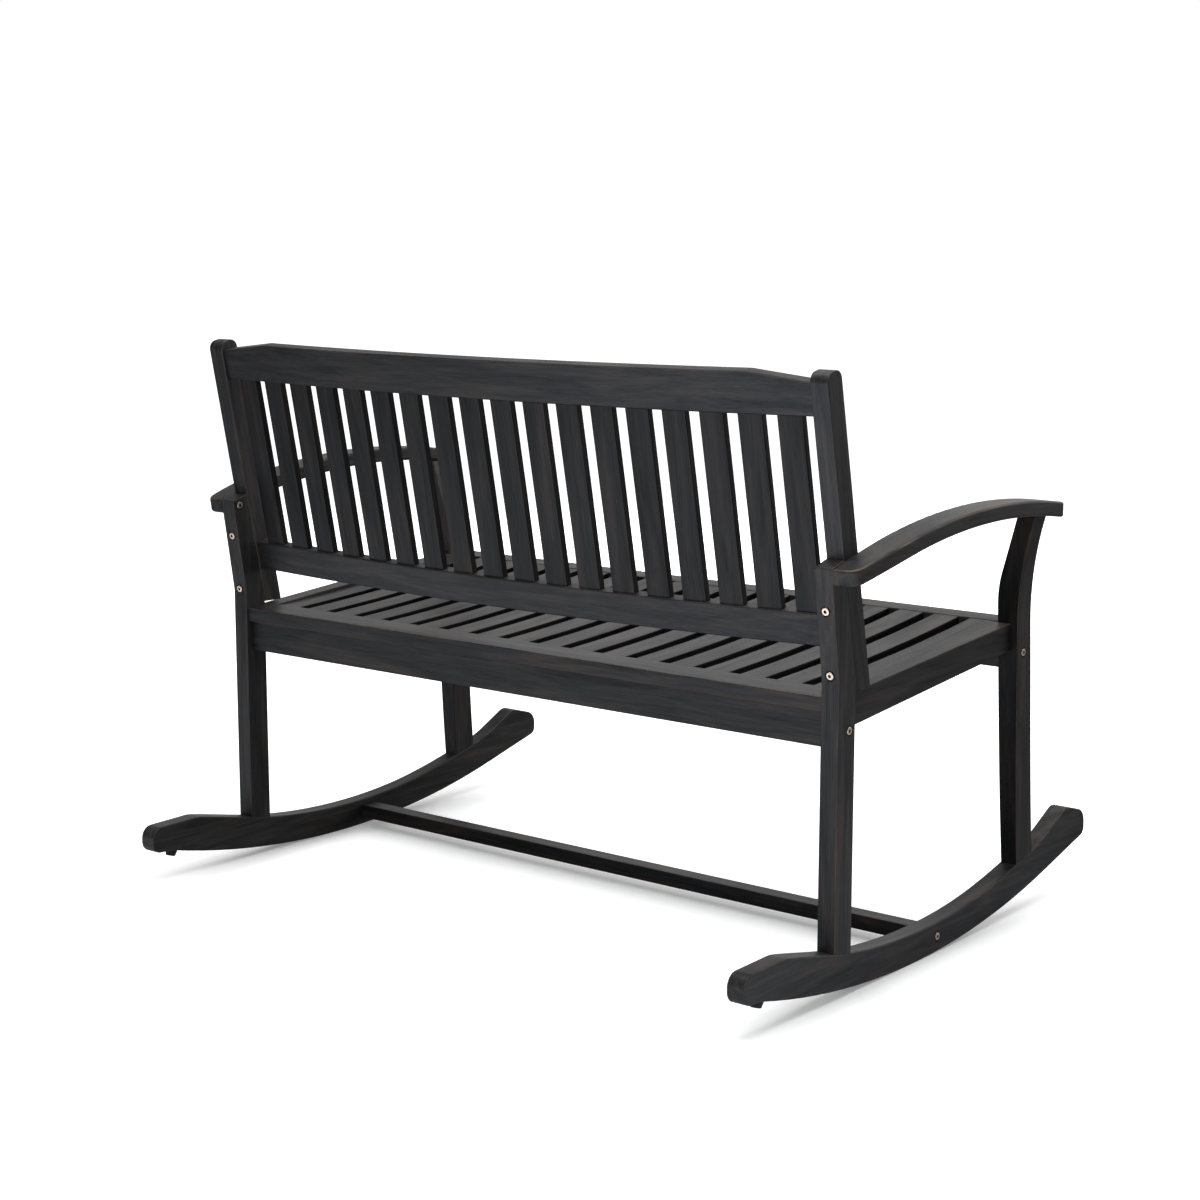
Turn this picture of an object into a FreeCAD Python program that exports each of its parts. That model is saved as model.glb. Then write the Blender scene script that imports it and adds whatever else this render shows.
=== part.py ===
import FreeCAD, Part
import math
import os

# Rocking bench for two people, in millimetres.
# X runs along the seat, with the sitter's left hand at +X. The bench faces -Y, and Z is up.
# The origin is on the floor, below the middle of the bench's length and width.

V = FreeCAD.Vector

# Side frames: both are alike, each a rocker, two legs, a side rail, a back post and an armrest
frame_half_width = 619.0
side_thickness = 30.0
wood_edge_radius = 1.5

# Rockers: the bottom is one arc from the toe to the heel, which are straight. The heights of the waist
# and at the legs are measured up from that arc, and the slopes are rise over run.
rocker_radius = 1640.0
rocker_low_y = 50.8
rocker_front_y = -493.0
rocker_rear_y = 493.0
rocker_waist_height = 46.8
rocker_quarter_y = -150.0
rocker_quarter_height = 47.7
rocker_front_leg_height = 53.6
rocker_rear_leg_height = 54.0
rocker_toe_y = -360.0
rocker_toe_radius = 14.0
rocker_front_corner_radius = 26.0
horn_y = -428.4
horn_z = 144.3
horn_rise_slope = 0.49
horn_rise_run = 58.0
horn_fall_slope = 0.29
horn_radius = 25.0
rocker_heel_y = 455.0
rocker_heel_slope = 0.03
rocker_heel_radius = 20.0
rocker_rear_lower_radius = 17.0
rocker_rear_upper_radius = 20.0
tail_shoulder_y = 392.0
tail_shoulder_z = 96.3
tail_shoulder_slope = 0.19
tail_shoulder_radius = 70.0
tail_fall_slope = 0.016
rocker_edge_radius = 2.0

# Rear legs: upright to the bend, then leaning back with the back posts
rear_leg_front_y = 227.0
rear_leg_depth = 44.0
leg_bend_z = 456.0
rear_leg_rear_bend_z = 470.0
rear_leg_top_rear_y = 295.0

# Front legs: four stations give the rear edge and the depth. The leg thickens from foot to knee, and
# above the knee it is bent outward.
front_leg_foot_y = -266.0
front_leg_foot_depth = 53.0
front_leg_shin_z = 206.0
front_leg_shin_y = -252.5
front_leg_shin_depth = 49.0
front_leg_seat_z = 454.0
front_leg_seat_y = -241.4
front_leg_seat_depth = 43.8
front_leg_top_z = 650.0
front_leg_top_y = -233.5
front_leg_top_depth = 36.0
front_leg_foot_thickness = 27.5
front_leg_knee_thickness = 36.0
outer_bend_start_z = 474.0
outer_bend_radius = 540.0
knee_z = 505.0
inner_bend_radius = 178.0
inner_bend_angle = 16.3

# Armrests: outside the legs, each one long arc in side view
arm_width = 51.0
arm_thickness = 24.0
arm_rear_width = 38.0
arm_taper_start_y = 170.0
arm_radius = 1335.0
arm_crest_y = -88.0
arm_crest_z = 684.2
arm_front_y = -291.0
arm_rear_corner_radius = 22.0
arm_front_corner_radius = 12.0
arm_edge_radius = 4.0

# Back: posts, two bowed rails and the slats, in a plane that leans back
back_tilt = 11.15
post_depth = 36.0
post_top = 450.0
post_foot_gap = 4.0
post_top_radius = 14.0
back_bow = 24.0
back_rail_thickness = 22.0
back_rail_recess = 5.0
back_rail_chamfer = 1.8
bottom_rail_start = 49.0
bottom_rail_height = 49.0
back_opening = 289.2
top_rail_height = 62.0
top_rail_end_drop = 13.5
top_rail_shoulder_run = 105.0
top_rail_shoulder_radius = 60.0
back_slat_count = 18
back_slat_width = 41.0
back_slat_thickness = 12.0
tenon_length = 10.0
tenon_clearance = 0.2

# Seat: side rails, boards, aprons and slats
side_rail_inset = 12.0
side_rail_thickness = 31.0
seat_rear_z = 440.4
seat_front_z = 476.6
side_rail_rear_height = 49.4
side_rail_front_height = 43.4
seat_board_thickness = 22.5
rear_board_overhang = 24.0
rear_board_inset = 5.0
rear_board_notch_clearance = 1.0
front_board_depth = 42.5
front_board_gap = 1.5
front_board_setback = 7.1
front_board_nose_radius = 8.0
apron_thickness = 29.0
rear_apron_height = 52.5
front_apron_height = 52.0
seat_slat_count = 18
seat_slat_width = 45.0
seat_slat_thickness = 22.0
seat_slat_chamfer = 1.0
seat_slat_clearance = 1.0
seat_slat_end_gap = 0.3
seat_slat_drop = 0.8
seat_hollow = 4.7

# Supports below the seat slats
ledger_height = 20.0
rear_ledger_depth = 44.0
front_ledger_depth = 22.0
batten_width = 26.0
batten_height = 30.0
batten_y = -20.0
support_end_gap = 0.3

# Stretcher between the rockers
stretcher_y = -17.8
stretcher_z = 25.0
stretcher_depth = 31.0
stretcher_height = 24.0

# Hardware
bolt_radius = 3.0
bolt_hole_clearance = 0.3
bolt_head_radius = 6.0
bolt_head_height = 4.0
bolt_head_proud = 0.5
bolt_head_edge_radius = 1.0
bolt_recess_radius = 8.0
bolt_socket_width = 5.0
bolt_socket_depth = 2.5
frame_bolt_length = 70.0
back_bolt_length = 60.0
arm_bolt_length = 50.0
upper_back_bolt = 119.8
lower_back_bolt = 25.5
upper_back_bolt_seat = 33.4
lower_back_bolt_seat = 37.6
arm_bolt_from_rear = 15.5
nut_radius = 5.0
nut_length = 14.0
nut_inset = 32.0
nut_clearance = 0.2
thread_clearance = 0.1
insert_radius = 5.0
insert_length = 15.0
insert_clearance = 0.1
dowel_radius = 4.0
dowel_length = 30.0
dowel_edge_radius = 1.0
dowel_clearance = 0.1
dowel_end_gap = 0.3
dowel_spacing = 22.0
arm_dowel_inset = 12.0
batten_dowel_drop = 5.5
board_dowel_shares = (0.25, 0.75)
ledger_dowel_shares = (0.65, 0.85)
screw_radius = 2.0
screw_head_radius = 4.0
screw_head_height = 2.5
screw_length = 35.0
screw_clearance = 0.1
pad_y = 441.9
pad_height = 10.5
pad_top_radius = 10.5
pad_bottom_radius = 8.0
pad_edge_radius = 1.0
pad_screw_recess = 5.0
pad_recess_clearance = 0.5

# Places worked out from the sizes above
leg_inner_x = frame_half_width - side_thickness
leg_middle_x = frame_half_width - side_thickness / 2
rear_leg_rear_y = rear_leg_front_y + rear_leg_depth
rail_outer_x = frame_half_width - side_rail_inset
rail_inner_x = rail_outer_x - side_rail_thickness
rear_board_front_y = rear_leg_front_y - rear_board_overhang
apron_rear_y = rear_leg_front_y + apron_thickness
arm_outer_x = frame_half_width + arm_width
top_rail_start = bottom_rail_start + bottom_rail_height + back_opening

# How far a cutting solid reaches: right through the bench, or just past a face
far = 2 * frame_half_width
overcut = 1.0


def line(start, end):
    return Part.LineSegment(start, end).toShape()


def arc(start, middle, end):
    return Part.Arc(start, middle, end).toShape()


def smooth(points, start_direction=None, end_direction=None):
    """A curve through the points, with its direction given at both ends or at neither."""
    curve = Part.BSplineCurve()
    if start_direction:
        curve.interpolate(Points=points, InitialTangent=start_direction, FinalTangent=end_direction,
                          Scale=False)
    else:
        curve.interpolate(Points=points)
    return curve.toShape()


def slab(edges, sweep):
    """The closed outline swept along a vector."""
    return Part.Face(Part.Wire(edges)).extrude(sweep)


def polygon_slab(points, sweep):
    return Part.Face(Part.makePolygon(points + points[:1])).extrude(sweep)


def block(x0, x1, y0, y1, z0, z1):
    return Part.makeBox(x1 - x0, y1 - y0, z1 - z0, V(x0, y0, z0))


def eased(solid, radius, wanted):
    """Rounds the edges that the test picks out."""
    return solid.makeFillet(radius, [edge for edge in solid.Edges if wanted(edge)])


def chamfered(solid, size, wanted):
    """Cuts the edges that the test picks out to small flats."""
    return solid.makeChamfer(size, [edge for edge in solid.Edges if wanted(edge)])


def lies_at(edge, axis, value):
    """True where the whole edge lies in one plane square to the axis (0, 1, 2 for X, Y, Z)."""
    box = edge.BoundBox
    low = (box.XMin, box.YMin, box.ZMin)[axis]
    high = (box.XMax, box.YMax, box.ZMax)[axis]
    return abs(low - value) < 0.01 and abs(high - value) < 0.01


def mirrored(solid):
    return solid.mirror(V(0, 0, 0), V(1, 0, 0))


def both_sides(solids):
    return solids + [mirrored(solid) for solid in solids]


def lean_back(solid):
    """Takes a solid from the back's own frame (Y is its thickness, Z runs up it) to its place."""
    placed = solid.copy()
    placed.rotate(V(0, 0, 0), V(1, 0, 0), -back_tilt)
    placed.translate(V(0, rear_leg_front_y, leg_bend_z))
    return placed


def point_along(solid, place, direction):
    """Turns a solid made along +Z so that it runs along the direction, from the place."""
    turned = solid.copy()
    turned.Placement = FreeCAD.Placement(place, FreeCAD.Rotation(V(0, 0, 1), direction))
    return turned


# Curves that several pieces share

def rocker_bottom_z(y):
    across = y - rocker_low_y
    return rocker_radius - math.sqrt(rocker_radius ** 2 - across ** 2)


def rocker_top_point(y, height):
    return V(0, y, rocker_bottom_z(y) + height)


def front_leg_middle_y():
    return front_leg_foot_y - front_leg_foot_depth / 2


def rear_leg_middle_y():
    return rear_leg_front_y + rear_leg_depth / 2


def rocker_bottom_slope(y):
    """How far the bottom arc rises for each millimetre towards the rear."""
    across = y - rocker_low_y
    return across / math.sqrt(rocker_radius ** 2 - across ** 2)


def along(place, slope, y):
    """The point at a given Y on the line through the place, with a slope in side view."""
    return V(0, y, place.z + slope * (y - place.y))


def rocker_corners():
    """The corners of the rocker's outline, from the tail's shoulder round by the rear and the bottom."""
    shoulder = V(0, tail_shoulder_y, tail_shoulder_z)
    rear_top = along(shoulder, -tail_fall_slope, rocker_rear_y)
    heel = V(0, rocker_heel_y, rocker_bottom_z(rocker_heel_y))
    rear_bottom = along(heel, rocker_heel_slope, rocker_rear_y)
    toe = V(0, rocker_toe_y, rocker_bottom_z(rocker_toe_y))
    front_bottom = along(toe, rocker_bottom_slope(rocker_toe_y), rocker_front_y)
    horn = V(0, horn_y, horn_z)
    front_top = along(horn, horn_fall_slope, rocker_front_y)
    horn_foot = along(horn, -horn_rise_slope, horn_y + horn_rise_run)
    return shoulder, rear_top, rear_bottom, heel, toe, front_bottom, front_top, horn, horn_foot


def rocker_top_curve(start, end):
    """The top of a rocker between the foot of the horn and the shoulder of the tail."""
    points = [
        start,
        rocker_top_point(front_leg_middle_y(), rocker_front_leg_height),
        rocker_top_point(rocker_quarter_y, rocker_quarter_height),
        rocker_top_point(rocker_low_y, rocker_waist_height),
        rocker_top_point(rear_leg_middle_y(), rocker_rear_leg_height),
        end,
    ]
    return smooth(points, V(0, 1, -horn_rise_slope), V(0, 1, tail_shoulder_slope))


def rail_top_z(y):
    """Height of the side rails' top edge, which slopes up to the front."""
    share = (rear_leg_front_y - y) / (rear_leg_front_y - front_leg_seat_y)
    return seat_rear_z + share * (seat_front_z - seat_rear_z)


def leg_rear_face_y(z):
    """The rear legs' rear face, above its own bend."""
    top_z = arm_top_z(rear_leg_top_rear_y)
    share = (z - rear_leg_rear_bend_z) / (top_z - rear_leg_rear_bend_z)
    return rear_leg_rear_y + max(share, 0) * (rear_leg_top_rear_y - rear_leg_rear_y)


def post_rear_face_y(z):
    return rear_leg_front_y + (z - leg_bend_z) * math.tan(math.radians(back_tilt))


def arm_top_z(y):
    across = y - arm_crest_y
    return arm_crest_z - arm_radius + math.sqrt(arm_radius ** 2 - across ** 2)


def arm_underside_z(y):
    across = y - arm_crest_y
    return arm_crest_z - arm_radius + math.sqrt((arm_radius - arm_thickness) ** 2 - across ** 2)


def bow_radius():
    return (leg_inner_x ** 2 + back_bow ** 2) / (2 * back_bow)


def bow_y(x):
    """Where the rails' rear faces are, in the back's own frame: in front of the posts' at both ends."""
    return math.sqrt(bow_radius() ** 2 - x ** 2) - bow_radius() + back_bow - back_rail_recess


# Side frames

def rocker_board(inner_x, outer_x):
    """The rocker's outline, with its corners rounded, swept from one X to another."""
    corners = rocker_corners()
    shoulder, rear_top, rear_bottom, heel, toe, front_bottom, front_top, horn, horn_foot = corners
    outline = [
        rocker_top_curve(horn_foot, shoulder),
        line(shoulder, rear_top),
        line(rear_top, rear_bottom),
        line(rear_bottom, heel),
        arc(heel, V(0, rocker_low_y, 0), toe),
        line(toe, front_bottom),
        line(front_bottom, front_top),
        line(front_top, horn),
        line(horn, horn_foot),
    ]
    board = slab(outline, V(outer_x - inner_x, 0, 0))
    for corner, radius in ((shoulder, tail_shoulder_radius), (rear_top, rocker_rear_upper_radius),
                           (rear_bottom, rocker_rear_lower_radius), (heel, rocker_heel_radius),
                           (front_bottom, rocker_toe_radius), (front_top, rocker_front_corner_radius),
                           (horn, horn_radius)):
        board = eased(board, radius, lambda edge: lies_at(edge, 1, corner.y) and lies_at(edge, 2, corner.z))
    board.translate(V(inner_x, 0, 0))
    return board


def rocker():
    def outline_edge(edge):
        return lies_at(edge, 0, leg_inner_x) or lies_at(edge, 0, frame_half_width)
    return eased(rocker_board(leg_inner_x, frame_half_width), rocker_edge_radius, outline_edge)


def rear_leg():
    top_front_y = post_rear_face_y(arm_top_z(rear_leg_top_rear_y))
    outline = [
        V(leg_inner_x, rear_leg_front_y, 0),
        V(leg_inner_x, rear_leg_front_y, leg_bend_z),
        V(leg_inner_x, post_rear_face_y(arm_top_z(top_front_y)), arm_top_z(top_front_y)),
        V(leg_inner_x, rear_leg_top_rear_y, arm_top_z(rear_leg_top_rear_y)),
        V(leg_inner_x, rear_leg_rear_y, rear_leg_rear_bend_z),
        V(leg_inner_x, rear_leg_rear_y, 0),
    ]
    leg = polygon_slab(outline, V(side_thickness, 0, 0))
    leg = eased(leg, wood_edge_radius, lambda edge: not lies_at(edge, 2, 0))
    return above_rocker(leg)


def above_rocker(leg):
    """Cuts a leg's foot to the curve of the rocker that it stands on."""
    trimmed = leg.cut(rocker_board(0, far))
    return max(trimmed.Solids, key=lambda solid: solid.Volume)


def front_leg_side_view():
    stations = [
        (front_leg_foot_y, front_leg_foot_depth, rocker_bottom_z(front_leg_foot_y)),
        (front_leg_shin_y, front_leg_shin_depth, front_leg_shin_z),
        (front_leg_seat_y, front_leg_seat_depth, front_leg_seat_z),
        (front_leg_top_y, front_leg_top_depth, front_leg_top_z),
    ]
    rear = smooth([V(0, y, z) for y, depth, z in stations])
    front = smooth([V(0, y - depth, z) for y, depth, z in stations])
    foot = line(front.valueAt(front.FirstParameter), rear.valueAt(rear.FirstParameter))
    head = line(rear.valueAt(rear.LastParameter), front.valueAt(front.LastParameter))
    return slab([rear, head, front, foot], V(far, 0, 0))


def front_leg():
    leg = front_leg_side_view().common(front_leg_front_view())
    leg = eased(leg, wood_edge_radius, lambda edge: edge.BoundBox.ZLength > side_thickness)
    return above_rocker(leg.cut(space_above_arm_underside()))


def front_leg_front_view():
    """The leg seen from the front: thickest at the knee, then bent outward to the armrest."""
    bottom_z = rocker_bottom_z(front_leg_foot_y)
    outer_foot = V(frame_half_width, -far, bottom_z)
    outer_start = V(frame_half_width, -far, outer_bend_start_z)
    knee = V(frame_half_width - front_leg_knee_thickness, -far, knee_z)
    inner_foot = V(frame_half_width - front_leg_foot_thickness, -far, bottom_z)
    outer_angle = math.asin((front_leg_top_z - outer_bend_start_z) / outer_bend_radius)
    inner_angle = math.radians(inner_bend_angle)
    shin_angle = math.atan2(knee.x - inner_foot.x, knee.z - inner_foot.z)
    outer = bend_outward(outer_start, outer_bend_radius, 0, outer_angle)
    inner = bend_outward(knee, inner_bend_radius, shin_angle, inner_angle)
    outer_top = outer.valueAt(outer.LastParameter)
    bend_end = inner.valueAt(inner.LastParameter)
    inner_top = bend_end + V(math.tan(inner_angle), 0, 1) * (front_leg_top_z - bend_end.z)
    outline = [
        line(outer_foot, outer_start),
        outer,
        line(outer_top, inner_top),
        line(inner_top, bend_end),
        inner,
        line(knee, inner_foot),
        line(inner_foot, outer_foot),
    ]
    return slab(outline, V(0, 2 * far, 0))


def bend_outward(start, radius, start_angle, end_angle):
    """An arc that rises from the start and turns outward. Angles are measured from upright."""
    def at(angle):
        across = math.cos(start_angle) - math.cos(angle)
        up = math.sin(angle) - math.sin(start_angle)
        return start + V(across, 0, up) * radius
    return arc(start, at((start_angle + end_angle) / 2), at(end_angle))


def between_front_legs(board):
    """Trims a board's ends to the inner faces of the front legs."""
    return board.cut(both_sides([front_leg_front_view()]))


def space_above_arm_underside():
    """Everything above the armrest's underside, from its crest to the front of the front leg."""
    front_y = arm_crest_y - far / 2
    roof_z = arm_crest_z + arm_thickness
    middle_y = (arm_crest_y + front_y) / 2
    rear = V(0, arm_crest_y, arm_underside_z(arm_crest_y))
    front = V(0, front_y, arm_underside_z(front_y))
    underside = arc(front, V(0, middle_y, arm_underside_z(middle_y)), rear)
    outline = [underside, line(rear, V(0, rear.y, roof_z)), line(V(0, rear.y, roof_z), V(0, front.y, roof_z)),
               line(V(0, front.y, roof_z), front)]
    return slab(outline, V(far, 0, 0))


def armrest():
    """The armrest: its long arc from the side, trimmed to its outline from above at both ends."""
    def arc_over(height_at):
        ends = [V(frame_half_width, y, height_at(y)) for y in (rear_y, front_y)]
        return arc(ends[0], V(frame_half_width, arm_crest_y, height_at(arm_crest_y)), ends[1])
    rear_y = rear_leg_top_rear_y + arm_thickness
    front_y = arm_front_y - arm_thickness
    top = arc_over(arm_top_z)
    underside = arc_over(arm_underside_z)
    outline = [
        top,
        line(top.valueAt(top.LastParameter), underside.valueAt(underside.LastParameter)),
        underside,
        line(underside.valueAt(underside.FirstParameter), top.valueAt(top.FirstParameter)),
    ]
    arm = slab(outline, V(arm_width, 0, 0)).common(arm_rear_plan()).common(arm_front_plan())
    return eased(arm, arm_edge_radius, lambda edge: edge.BoundBox.ZLength < arm_thickness / 2
                 or edge.BoundBox.YLength > arm_thickness)


def arm_rear_plan():
    """The outline from above, curving in to the rear end, swept along the slope of the legs' rear faces."""
    rear_outer_x = frame_half_width + arm_rear_width
    taper = arm_width - arm_rear_width
    lean = V(0, rear_leg_top_rear_y - rear_leg_rear_y, arm_top_z(rear_leg_top_rear_y) - rear_leg_rear_bend_z)
    taper_start_y = arm_taper_start_y - lean.y
    middle_y = (taper_start_y + rear_leg_rear_y) / 2
    z = rear_leg_rear_bend_z
    rear_inner = V(frame_half_width, rear_leg_rear_y, z)
    rear_outer = V(rear_outer_x, rear_leg_rear_y, z)
    taper_start = V(arm_outer_x, taper_start_y, z)
    front_outer = V(arm_outer_x, -far, z)
    front_inner = V(frame_half_width, -far, z)
    outline = [
        line(rear_inner, rear_outer),
        arc(rear_outer, V(arm_outer_x - taper / 4, middle_y, z), taper_start),
        line(taper_start, front_outer),
        line(front_outer, front_inner),
        line(front_inner, rear_inner),
    ]
    plan = slab(outline, lean + lean)

    def rear_corner(edge):
        return lies_at(edge, 0, rear_outer_x)
    return eased(plan, arm_rear_corner_radius, rear_corner)


def arm_front_plan():
    """The outline from above at the front end, with both corners rounded."""
    plan = block(frame_half_width, arm_outer_x, arm_front_y, far, 0, arm_crest_z + arm_thickness)

    def front_corner(edge):
        return lies_at(edge, 1, arm_front_y) and edge.BoundBox.ZLength > arm_crest_z
    return eased(plan, arm_front_corner_radius, front_corner)


def back_post():
    """A back post, made in the back's own frame. Its foot is cut level, just above the side rail."""
    foot_z = rail_top_z(rear_leg_front_y - post_depth) + post_foot_gap
    post = block(leg_inner_x, frame_half_width, -post_depth, 0, -post_depth, post_top)

    def top_corner(edge):
        return lies_at(edge, 2, post_top) and edge.BoundBox.XLength > side_thickness / 2
    post = eased(post, post_top_radius, top_corner)
    post = eased(post, wood_edge_radius, lambda edge: not lies_at(edge, 2, -post_depth))
    return lean_back(post).cut(block(0, far, 0, far, 0, foot_z))


def side_rail():
    """The side rail, whose front end is cut to the curved rear face of the front leg."""
    rear_top = V(rail_inner_x, rear_leg_front_y, seat_rear_z)
    front_top = V(rail_inner_x, front_leg_seat_y, seat_front_z)
    front_bottom = V(rail_inner_x, front_leg_seat_y, seat_front_z - side_rail_front_height)
    rear_bottom = V(rail_inner_x, rear_leg_front_y, seat_rear_z - side_rail_rear_height)
    rail = polygon_slab([rear_top, front_top, front_bottom, rear_bottom], V(side_rail_thickness, 0, 0))
    rail = eased(rail, wood_edge_radius, lambda edge: edge.BoundBox.YLength > seat_board_thickness)
    return rail.cut(front_leg_side_view())


# Back

def bowed_board(start, height):
    """A board along the bow of the back, upright in the back's own frame."""
    reach = leg_inner_x + side_thickness

    def plan_arc(offset):
        ends = [V(x, bow_y(x) - offset, start) for x in (-reach, reach)]
        return arc(ends[0], V(0, bow_y(0) - offset, start), ends[1])
    rear = plan_arc(0)
    front = plan_arc(back_rail_thickness)
    outline = [rear, line(rear.valueAt(rear.LastParameter), front.valueAt(front.LastParameter)),
               front, line(front.valueAt(front.FirstParameter), rear.valueAt(rear.FirstParameter))]
    return slab(outline, V(0, 0, height))


def along_the_back(edge):
    return edge.BoundBox.XLength > back_rail_thickness


def between_posts(rail):
    return rail.common(block(-leg_inner_x, leg_inner_x, -far, far, 0, far))


def bottom_rail():
    rail = bowed_board(bottom_rail_start, bottom_rail_height)
    return between_posts(chamfered(rail, back_rail_chamfer, along_the_back))


def top_rail():
    """The top rail, whose upper corners slope down to the posts."""
    rail = bowed_board(top_rail_start, top_rail_height)
    top = top_rail_start + top_rail_height
    end_top = top - top_rail_end_drop
    shoulder_x = leg_inner_x - top_rail_shoulder_run
    slope = top_rail_end_drop / top_rail_shoulder_run
    reach = leg_inner_x + side_thickness
    corner = [
        V(reach, -far, end_top - slope * side_thickness),
        V(reach, -far, top + overcut),
        V(shoulder_x, -far, top + overcut),
        V(shoulder_x, -far, top),
    ]
    cutter = polygon_slab(corner, V(0, 2 * far, 0))
    rail = rail.cut(both_sides([cutter]))

    def shoulder_edge(edge):
        return lies_at(edge, 2, top) and (lies_at(edge, 0, shoulder_x) or lies_at(edge, 0, -shoulder_x))
    rail = eased(rail, top_rail_shoulder_radius, shoulder_edge)
    return between_posts(chamfered(rail, back_rail_chamfer, along_the_back))


def back_slat_places():
    pitch = back_slat_width + back_slat_gap()
    return [pitch * (i - (back_slat_count - 1) / 2) for i in range(back_slat_count)]


def back_slat_gap():
    """The gap between slats, which is the same as the gap at each end."""
    free = 2 * leg_inner_x - back_slat_count * back_slat_width
    return free / (back_slat_count + 1)


def back_slat_box(x, clearance):
    """A slat with its tenons, or with a clearance the space that it takes in the rails."""
    half_width = back_slat_width / 2 + clearance
    half_thickness = back_slat_thickness / 2 + clearance
    reach = tenon_length + clearance
    bottom = top_rail_start - back_opening - reach
    slat = block(-half_width, half_width, -half_thickness, half_thickness, bottom, top_rail_start + reach)
    if clearance == 0:
        slat = eased(slat, wood_edge_radius, lambda edge: edge.BoundBox.ZLength > back_opening)
    slat.rotate(V(0, 0, 0), V(0, 0, 1), -math.degrees(math.asin(x / bow_radius())))
    slat.translate(V(x, bow_y(x) - back_rail_thickness / 2, 0))
    return slat


# Seat

def rear_board():
    """The rear board of the seat, notched round the ends of the side rails."""
    rear_y = rear_leg_rear_y - rear_board_inset
    bottom = seat_rear_z - seat_board_thickness
    board = block(-leg_inner_x, leg_inner_x, rear_board_front_y, rear_y, bottom, seat_rear_z)
    board = eased(board, wood_edge_radius, lambda edge: edge.BoundBox.XLength > side_thickness)
    notch_x = rail_inner_x - rear_board_notch_clearance
    notch = block(notch_x, far, rear_board_front_y - overcut, rear_leg_front_y,
                  bottom - overcut, seat_rear_z + overcut)
    return board.cut(both_sides([notch]))


def seat_rear_end_y():
    return rear_board_front_y - seat_slat_end_gap


def front_board_rear_y():
    """The front board and the front apron start a little in front of the legs' rear faces."""
    return front_leg_seat_y - front_board_setback


def front_board():
    """The front board of the seat, in line with the side rails' slope, with a rounded nose."""
    rear_y = front_board_rear_y()
    front_y = rear_y - front_board_depth
    x = -leg_inner_x
    outline = [V(x, rear_y, rail_top_z(rear_y)), V(x, front_y, rail_top_z(front_y)),
               V(x, front_y, rail_top_z(front_y) - seat_board_thickness),
               V(x, rear_y, rail_top_z(rear_y) - seat_board_thickness)]
    board = polygon_slab(outline, V(2 * leg_inner_x, 0, 0))
    board = eased(board, front_board_nose_radius, lambda edge: along_x_at_y(edge, front_y))
    return between_front_legs(eased(board, wood_edge_radius, lambda edge: along_x_at_y(edge, rear_y)))


def along_x_at_y(edge, y):
    return edge.BoundBox.XLength > leg_inner_x and lies_at(edge, 1, y)


def rear_apron():
    top = seat_rear_z - seat_board_thickness
    apron = block(-leg_inner_x, leg_inner_x, rear_leg_front_y, apron_rear_y, top - rear_apron_height, top)
    return eased(apron, wood_edge_radius, lambda edge: edge.BoundBox.XLength > side_thickness)


def front_apron_bottom_z():
    return rail_top_z(front_board_rear_y()) - seat_board_thickness - front_apron_height


def front_apron():
    """The front apron, whose top edge follows the underside of the front board."""
    x = -leg_inner_x
    rear_y = front_board_rear_y()
    front_y = rear_y - apron_thickness
    bottom = front_apron_bottom_z()
    outline = [V(x, rear_y, rail_top_z(rear_y) - seat_board_thickness),
               V(x, front_y, rail_top_z(front_y) - seat_board_thickness),
               V(x, front_y, bottom), V(x, rear_y, bottom)]
    apron = polygon_slab(outline, V(2 * leg_inner_x, 0, 0))
    return between_front_legs(
        eased(apron, wood_edge_radius, lambda edge: edge.BoundBox.XLength > side_thickness))


def seat_curve_points(x, drop):
    """Rear end, middle and front end of the slats' hollow top, lowered by a drop."""
    rear_y = seat_rear_end_y()
    front_y = front_board_rear_y() + front_board_gap
    middle_y = (rear_y + front_y) / 2
    rear_z = seat_rear_z - seat_slat_drop - drop
    front_z = rail_top_z(front_y) - seat_slat_drop - drop
    middle_z = (rear_z + front_z) / 2 - seat_hollow
    return V(x, rear_y, rear_z), V(x, middle_y, middle_z), V(x, front_y, front_z)


def seat_slat_places():
    field = rail_inner_x - seat_slat_clearance
    pitch = (2 * field - seat_slat_width) / (seat_slat_count - 1)
    return [-field + seat_slat_width / 2 + i * pitch for i in range(seat_slat_count)]


def seat_slat(middle_x):
    x = middle_x - seat_slat_width / 2
    top_rear, top_middle, top_front = seat_curve_points(x, 0)
    bottom_rear, bottom_middle, bottom_front = seat_curve_points(x, seat_slat_thickness)
    outline = [arc(top_rear, top_middle, top_front), line(top_front, bottom_front),
               arc(bottom_front, bottom_middle, bottom_rear), line(bottom_rear, top_rear)]
    slat = slab(outline, V(seat_slat_width, 0, 0))
    return chamfered(slat, seat_slat_chamfer, lambda edge: edge.BoundBox.YLength > seat_slat_width)


def space_below_slats():
    """Everything below the slats' undersides, wide enough to trim any support."""
    x = -far
    rear, middle, front = seat_curve_points(x, seat_slat_thickness)
    outline = [arc(rear, middle, front), line(front, V(x, front.y, 0)),
               line(V(x, front.y, 0), V(x, rear.y, 0)), line(V(x, rear.y, 0), rear)]
    return slab(outline, V(2 * far, 0, 0))


def support_half_length():
    return rail_inner_x - support_end_gap


def rear_ledger():
    """The rear ledger lies against the rear apron, below the board and the slats' ends."""
    half = support_half_length()
    top = seat_rear_z - seat_slat_drop - seat_slat_thickness
    board_bottom = seat_rear_z - seat_board_thickness
    top = min(top, board_bottom)
    front_y = rear_leg_front_y - rear_ledger_depth
    return block(-half, half, front_y, rear_leg_front_y, top - ledger_height, top)


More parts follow.
